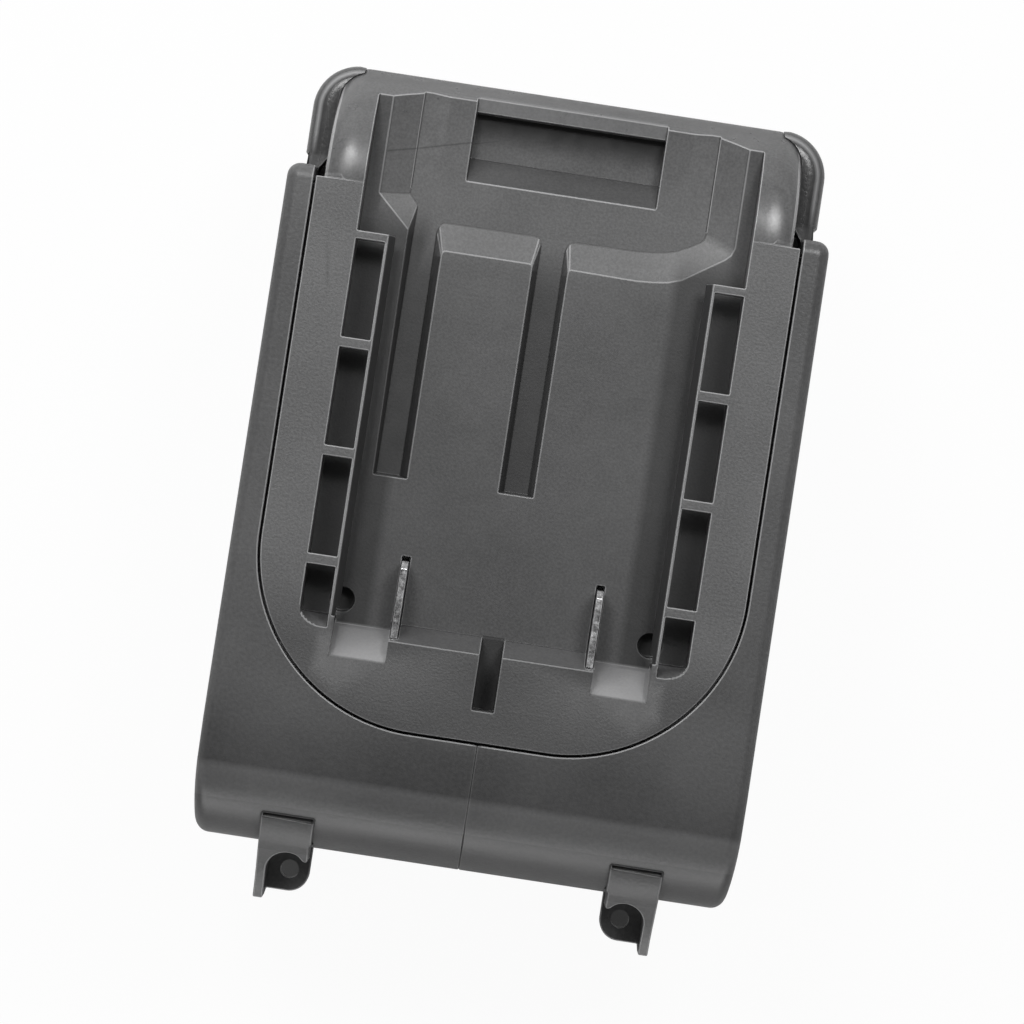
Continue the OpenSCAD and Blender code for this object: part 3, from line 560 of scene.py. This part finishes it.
def screw_ear():
    """Ear that stands off the round end: a strap and a tail stand on a base with the screw hole."""
    x, y, low = EAR_X, EAR_Y, REAR + 6
    slope = [(-47, 45), (-54.1, FACE - 2.7), (-55.4, FACE - 3.35), (-56.7, FACE - 4.25),
             (-58, FACE - 5.45), (-59.3, FACE - 6.9), (-60.8, FACE - 8.7), (-62.6, FACE - 10.9),
             (-64.7, FACE - 13.0), (-66.9, FACE - 14.5)]
    ear = solid(moulded([(-47, low)] + slope + [(-66.9, low)], "yz", x - 3, x + 4.8), "ear")
    plan = (arc((x, y - 0.3), 3, 180, 270, 12)
            + [(x + 3.1, y - 3.3), (x + 3.4, y - 4.7), (x + 4.8, y - 4.7), (x + 4.8, -40), (x - 3, -40)])
    carve(ear, [moulded(plan, "xy", low - 1, FACE + 2)], "INTERSECT")
    bowl = [(x + 3.35, y - 8)] + arc((x + 0.2, y), 3.15, 0, 112, 18) + [
        (x - 1.35, y + 2.72), (x - 1.62, y + 2.42), (x - 1.95, y + 2.12), (x - 2.3, y + 1.95),
        (x - 2.6, y + 1.98), (x - 2.72, y + 2.2), (x - 2.7, y + 4.6), (x - 4, y + 4.6), (x - 4, y - 8)]
    carve(ear, [moulded(bowl, "xy", low + 3, FACE + 2), peg(x, y, 1.4, low - 1, low + 4),
                moulded(arc((END_Y, END_Z), END_R - 1.2, 0, 357, 119), "yz", 15, 35)])
    bm = bmesh.new()
    bm.from_mesh(ear.data)
    bpy.data.objects.remove(ear)
    return bm


def nose_room():
    """Room that the nose sits in, a hair larger than the nose."""
    bm = nose_shape()
    for v in bm.verts:
        v.co = (v.co.x * 1.003, NOSE_Y + (v.co.y - NOSE_Y) * 1.008, NOSE_Z + (v.co.z - NOSE_Z) * 1.008)
    return bm


def housing_rooms():
    """Everything that is hollow in the housing."""
    beside = [(34.95, 38), (34.9, 48), (34.6, 52.6), (34.2, 54.3), (33.4, 55.7), (32.4, 56.5), (31.6, 56.8),
              (31.3, 59.0)]
    rooms = [brick((-HALF + WALL, -46, REAR + WALL), (HALF - WALL, 39.4, FACE - 2.6)),
             moulded(arc((END_Y, END_Z), END_R - WALL, 0, 357, 119), "yz", -HALF + WALL, HALF - WALL),
             moulded(plate_outline(0.4, 42.5), "xy", FACE - 3.5, FACE + 2),
             moulded([(36.2, 38), (36.2, 41.7), (34.9, 43.6), (-34.9, 43.6), (-36.2, 41.7), (-36.2, 38)],
                     "xy", FACE - 14, FACE + 2),
             moulded(beside + [(-a, b) for a, b in reversed(beside)], "xy", NOSE_Z - 0.1, FACE + 2),
             nose_room(),
             moulded(rounded([(36.6, 36, 0), (36.6, 55.8, 4.6), (-36.6, 55.8, 4.6), (-36.6, 36, 0)]),
                     "xy", REAR + WALL, NOSE_Z),
             brick((-36.6, 42.5, REAR + WALL), (36.6, 51.7, FACE - 13.2)),
             plug_tower(WALL, 2.4, REAR + WALL + 0.1, 2.8),
             brick((-12.2, -6.2, -1), (12.2, 6.2, 3))]
    rooms += both(lambda: brick((37.9, 41.7, REAR - 1), (42, 43.9, FACE + 2)))
    return rooms


def far_side(side):
    """Block over everything beyond the seam, seen from one half."""
    return brick((-60, -90, -5), (0, 90, 90)) if side > 0 else brick((0, -90, -5), (60, 90, 90))


def housing_half(side):
    """One half of the housing, cut from the whole along the middle."""
    shell = solid(shell_body(), "right_housing_shell" if side > 0 else "left_housing_shell")
    carve(shell, [back_lip(), plug_tower(0, 0, REAR + 1, 5)], "UNION")
    carve(shell, [far_side(side)])
    carve(shell, housing_rooms())
    ears = both(screw_ear)
    spare = ears.pop(1 if side > 0 else 0)
    spare.free()
    carve(shell, ears, "UNION")
    gap = [(-53.45, FACE - 3.25), (-54.02, FACE - 3.5), (-54.02, FACE), (-53.45, FACE)]
    carve(shell, [moulded(gap, "yz", *sorted((22.2 * side, 29.6 * side)))])
    ledge = solid(moulded(plate_outline(2.4, 37), "xy", FACE - 6.7, FACE - 4.7), "ledge")
    carve(ledge, [moulded(plate_outline(-1.8, 45), "xy", FACE - 8, FACE - 4), far_side(side)])
    seat = bmesh.new()
    seat.from_mesh(ledge.data)
    bpy.data.objects.remove(ledge)
    carve(shell, [seat], "UNION")
    for y in (30.0, -3.6):
        carve(shell, [peg(30 * side, y, 4.2, REAR + 1, REAR + 10)], "UNION")
        carve(shell, [peg(30 * side, y, 1.65, REAR - 1, REAR + 12),
                      peg(30 * side, y, 3.0, REAR - 1, REAR + 2.6)])
    for y in (-39.0, -12.0):
        carve(shell, [peg(27 * side, y, 2.8, REAR + 1, REAR + 4.4)], "UNION")
    return soften(shell, 0.3, sharp=lambda spot: 29.5 < abs(spot.x) < 34.9 and spot.y > 54 and spot.z > 30.5
                  or math.hypot(abs(spot.x) - EAR_X, spot.y - EAR_Y) < 1.6)


def housing_finish():
    """Grey plastic of the shell: satin, with a fine grain, faint handling marks and painted light and shade.
    """
    f = Finish("housing_plastic_finish", Roughness=0.42)
    x, y, z = f.node("ShaderNodeSeparateXYZ", {0: f.place}).outputs
    grain = f.noise(1900, 3.0, 0.6)
    cloud = f.noise(45, 3.0)
    tone = f.math("ADD", f.ramp(grain, 0.35, 0.65, 0.0, 0.4), f.ramp(cloud, 0.35, 0.65, 0.0, 0.4))
    side = f.math("ABSOLUTE", x)
    # Painted highlights on outer edges, fainter along the seam, and painted shade in inner corners.
    colour = f.edge_lit_shaded(f.blend(tone, grey(0.042), grey(0.078)), f.ramp(side, 0.0004, 0.0008, 0.12, 0.5), 0.7)
    # Painted shade on the flat top towards the bend of the round end, and painted light on the bend beyond
    # it.
    upper = f.ramp(z, 0.0430, 0.0445)
    flat = f.times(f.ramp(y, -0.0471, -0.0330, 0.4, 0.0), f.ramp(y, -0.0477, -0.0466))
    colour = f.blend(f.times(flat, upper), colour, grey(0.008))
    bend = f.times(f.ramp(y, -0.0545, -0.0480, 0.0, 0.25), f.ramp(y, -0.0477, -0.0466, 1.0, 0.0))
    colour = f.blend(f.times(bend, upper), colour, grey(0.14))
    # Painted shade on the lower lip, but for a painted highlight along its rounded corner.
    lip = f.times(f.ramp(y, 0.0435, 0.0440), f.ramp(z, 0.0300, 0.0330, 0.0, 0.45))
    colour = f.blend(lip, colour, grey(0.008))
    across = f.most(f.math("SUBTRACT", side, 0.0316), 0.0)
    onward = f.most(f.math("SUBTRACT", y, 0.0511), 0.0)
    ring = f.math("POWER", f.math("ADD", f.math("POWER", across, 2.0), f.math("POWER", onward, 2.0)), 0.5)
    ridge = f.math("ABSOLUTE", f.math("SUBTRACT", ring, 0.00575))
    ridge = f.times(f.ramp(ridge, 0.0, 0.0005, 0.5, 0.0),
                    f.times(f.ramp(y, 0.0435, 0.047), f.ramp(z, 0.0365, 0.0375)))
    colour = f.blend(ridge, colour, grey(0.32))
    # Painted shade on the ear strap.
    strap = f.times(f.near(y, -0.0556, 0.0034), f.ramp(z, 0.0400, 0.0420))
    colour = f.blend(f.times(strap, 0.35), colour, grey(0.008))
    f.link(colour, "Base Color")
    behind = f.ramp(y, 0.043, 0.0445, 0.0, -0.12)
    f.link(f.math("ADD", f.ramp(cloud, 0.3, 0.7, 0.36, 0.44), behind), "Roughness")
    f.link(f.bump(grain, 0.5, 0.00008), "Normal")
    return f.material


shell_finish = housing_finish()
for side, node_name in ((-1, "left_housing"), (1, "right_housing")):
    half = housing_half(side)
    half.data.materials.append(shell_finish)
    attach(half, "root")
    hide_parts(node_name)

# Dock blades: two tin-plated strips of sheet metal that stand in slots in the dock floor. The battery's
# forked contacts slide over them, and their tails go down through the holder into the board.


def blade_strip():
    """One blade with a bevelled tip, in mm, at positive X."""
    low, top = FLOOR - 6.6, FACE - 1.3
    outline = [(-25.3, low), (-25.3, top), (-15.0, top), (-13.9, top - 1.0), (-13.9, low + 2), (-15, low + 2),
               (-15, low), (-18, low), (-18, 27.6), (-22, 27.6), (-22, low)]
    return moulded(outline, "yz", 14.0, 15.0)


def blade_finish():
    """Tin plate: bright grey with fine rolling lines, dull specks and painted highlights on its outer edges.
    """
    f = Finish("blade_metal_finish", Metallic=1.0, Roughness=0.3)
    drawn = f.node("ShaderNodeMapping", {"Vector": f.place, "Scale": (1.0, 1.0, 14.0)}).outputs[0]
    lines = f.node("ShaderNodeTexNoise", {"Vector": drawn, "Scale": 900, "Detail": 3.0}).outputs["Fac"]
    specks = f.noise(2400, 3.0, 0.7)
    edge_mark = f.node("ShaderNodeAttribute", attribute_name="edge_light_shade").outputs["Fac"]
    colour = f.blend(f.ramp(specks, 0.36, 0.64), grey(0.26), grey(0.74))
    # Painted highlight on the outer edges.
    f.link(f.blend(f.times(f.most(edge_mark, 0.0), 0.75), colour, grey(0.95)), "Base Color")
    f.link(f.ramp(lines, 0.3, 0.7, 0.22, 0.45), "Roughness")
    f.link(f.bump(specks, 0.4, 0.00005), "Normal")
    return f.material


tin = blade_finish()
for made, node_name in zip(both(blade_strip), ("positive_blade", "negative_blade")):
    strip = solid(made, node_name + "_strip")
    soften(strip, 0.14, 2)
    strip.data.materials.append(tin)
    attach(strip, "root")
    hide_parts(node_name)

# Pieces inside the housing and in the plug: board and its parts, holder, socket, clips, leads and screws.
# They keep the shape of the model and get their finishes: black or tinted plastic, metal, or ceramic.


def plain_finish(name, dark, light, rough, metal=0.0):
    """Finish with a fine grain between two tones of one colour."""
    f = Finish(name + "_finish", Metallic=metal)
    grain = f.noise(900.0, 3.0, 0.6)
    f.link(f.blend(f.ramp(grain, 0.3, 0.7), dark, light), "Base Color")
    f.link(f.ramp(grain, 0.3, 0.7, rough - 0.06, rough + 0.06), "Roughness")
    f.link(f.bump(grain, 0.2, 0.00003), "Normal")
    return f.material


for names, finish in (
        (["blade_holder", "power_transistors", "control_chips", "output_socket"],
         plain_finish("black_plastic", grey(0.012), grey(0.022), 0.5)),
        (["holder_screws", "board_screws", "plate_screws", "tower_screws"],
         plain_finish("screw_steel", grey(0.4), grey(0.55), 0.3, 1.0)),
        (["circuit_board"], plain_finish("board", (0.008, 0.07, 0.03, 1), (0.012, 0.11, 0.05, 1), 0.35)),
        (["heat_sink"], plain_finish("sink", grey(0.5), grey(0.62), 0.35, 1.0)),
        (["smoothing_capacitors"], plain_finish("can", (0.01, 0.015, 0.06, 1), (0.02, 0.03, 0.1, 1), 0.3)),
        (["fuse"], plain_finish("fuse", grey(0.5), grey(0.7), 0.3)),
        (["fuse_clips"], plain_finish("clip", grey(0.5), grey(0.65), 0.3, 1.0)),
        (["surface_parts"], plain_finish("chip", (0.3, 0.22, 0.12, 1), (0.5, 0.4, 0.25, 1), 0.4)),
        (["positive_contact_clip", "negative_contact_clip"],
         plain_finish("brass", (0.6, 0.42, 0.18, 1), (0.75, 0.55, 0.28, 1), 0.28, 1.0)),
        (["positive_lead"],
         plain_finish("red_insulation", (0.35, 0.01, 0.01, 1), (0.5, 0.02, 0.02, 1), 0.45)),
        (["negative_lead", "lead_sleeves"], plain_finish("black_insulation", grey(0.01), grey(0.02), 0.45))):
    for name in names:
        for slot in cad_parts[name].material_slots:
            slot.material = finish

# Stage: pale floor under the plug tower, soft lamps and the camera that looks straight down.
# The paper glows white round the object, and stays plain paper under it, where it lies in shadow.
grid = bmesh.new()
bmesh.ops.create_grid(grid, x_segments=1, y_segments=1, size=3)
bmesh.ops.translate(grid, verts=grid.verts, vec=(0, 0, -0.00005))
ground = solid(grid, "floor")
paper = Finish("floor_paper", Roughness=0.9)
across, along, _ = paper.node("ShaderNodeSeparateXYZ", {0: paper.place}).outputs
side = paper.math("ABSOLUTE", across)
# Painted shade: round each ear hole the paper is dark and does not glow, standing in for the shadowed floor
# seen through the hole.
from_hole = [paper.math("POWER", paper.math("SUBTRACT", side, 0.026), 2.0),
             paper.math("POWER", paper.math("ADD", along, 0.0645), 2.0)]
reach = paper.math("POWER", paper.math("ADD", *from_hole), 0.5)
ear_shade = paper.most(paper.math("MULTIPLY_ADD", reach, -1250.0, 3.5), 0.0)
ear_shade = paper.math("SMOOTH_MIN", ear_shade, 1.0, 0.1)
body_shade = paper.times(*[
    paper.math("MINIMUM", paper.most(paper.math("MULTIPLY_ADD", value, -60.0, start), 0.0), 1.0)
    for value, start in ((side, 2.4), (paper.math("ABSOLUTE", along), 3.5))])
open_floor = paper.math("SUBTRACT", 1.0, paper.most(ear_shade, body_shade))
paper.link(paper.blend(ear_shade, (0.55, 0.55, 0.55, 1), (0.09, 0.09, 0.09, 1)), "Base Color")
to_camera = paper.node("ShaderNodeLightPath").outputs["Is Camera Ray"]
glow = paper.node("ShaderNodeEmission", {"Strength": 1.0}).outputs[0]
mixed = paper.node("ShaderNodeMixShader", {0: paper.times(paper.times(to_camera, 0.95), open_floor),
                                           1: paper.shader.outputs[0], 2: glow}).outputs[0]
# From below the paper is clear, so that the underside of the object can be seen.
behind = paper.node("ShaderNodeNewGeometry").outputs["Backfacing"]
clear = paper.node("ShaderNodeBsdfTransparent").outputs[0]
seen = paper.node("ShaderNodeMixShader", {0: behind, 1: mixed, 2: clear}).outputs[0]
paper.tree.links.new(seen, paper.tree.nodes["Material Output"].inputs["Surface"])
ground.data.materials.append(paper.material)

# The room is white to the camera. It lights the object from a pale band above the horizon.
world = bpy.data.worlds.new("studio")
world.use_nodes = True
air = world.node_tree
height = air.nodes.new("ShaderNodeSeparateXYZ")
air.links.new(air.nodes.new("ShaderNodeTexCoord").outputs["Generated"], height.inputs[0])
band = air.nodes.new("ShaderNodeValToRGB")
for spot_at, level in zip((0.0, 0.03, 0.1, 0.28, 0.42), (0.1, 0.1, 1.0, 1.0, 0.1)):
    stop = band.color_ramp.elements[0] if spot_at == 0 else band.color_ramp.elements.new(spot_at)
    stop.color = (level, level, level, 1)
band.color_ramp.elements[-1].color = (0.1, 0.1, 0.1, 1)
air.links.new(height.outputs[2], band.inputs[0])
room = air.nodes.new("ShaderNodeBackground")
air.links.new(band.outputs[0], room.inputs["Color"])
room.inputs["Strength"].default_value = 0.9
air.nodes["Background"].inputs["Color"].default_value = (1, 1, 1, 1)
air.nodes["Background"].inputs["Strength"].default_value = 1.0
either = air.nodes.new("ShaderNodeMixShader")
air.links.new(air.nodes.new("ShaderNodeLightPath").outputs["Is Camera Ray"], either.inputs[0])
air.links.new(room.outputs[0], either.inputs[1])
air.links.new(air.nodes["Background"].outputs[0], either.inputs[2])
air.links.new(either.outputs[0], air.nodes["World Output"].inputs["Surface"])
bpy.context.scene.world = world


def softbox(name, place, aim, size, power, mirrored=True):
    """Rectangular lamp at a place, pointed at a spot on the object. It may stay out of reflections."""
    lamp = bpy.data.lights.new(name, "AREA")
    lamp.shape, lamp.size, lamp.size_y, lamp.energy = "RECTANGLE", size[0], size[1], power
    holder = bpy.data.objects.new(name, lamp)
    holder.location = place
    holder.rotation_euler = (Vector(aim) - Vector(place)).to_track_quat("-Z", "Y").to_euler()
    holder.visible_glossy = mirrored
    bpy.context.scene.collection.objects.link(holder)


softbox("key_lamp", (-0.19, 0.38, 0.2), (0, 0.0, 0.045), (0.4, 0.16), 1.75, False)
softbox("low_lamp", (0.0, -0.7, 0.18), (0, -0.04, 0.04), (0.9, 0.3), 2.8)
softbox("high_lamp_left", (-0.2, 0.317, 0.556), (0, 0.03, 0.045), (0.2, 0.2), 2.1)
softbox("high_lamp_right", (0.2, 0.317, 0.556), (0, 0.03, 0.045), (0.2, 0.2), 2.3)

camera = bpy.data.cameras.new("camera")
SENSOR, DISTANCE, WIDTH_SEEN = 36.0, 700.0, 149.7
camera.sensor_width, camera.lens = SENSOR, SENSOR * DISTANCE / WIDTH_SEEN
camera.clip_start, camera.clip_end = 0.01, 20.0
viewer = bpy.data.objects.new("camera", camera)
viewer.location = (-0.00012, -0.00438, FACE * MM + 0.7)
viewer.rotation_euler = (0, 0, math.radians(8.65))
bpy.context.scene.collection.objects.link(viewer)
bpy.context.scene.camera = viewer
bpy.context.scene.view_settings.view_transform = "Standard"
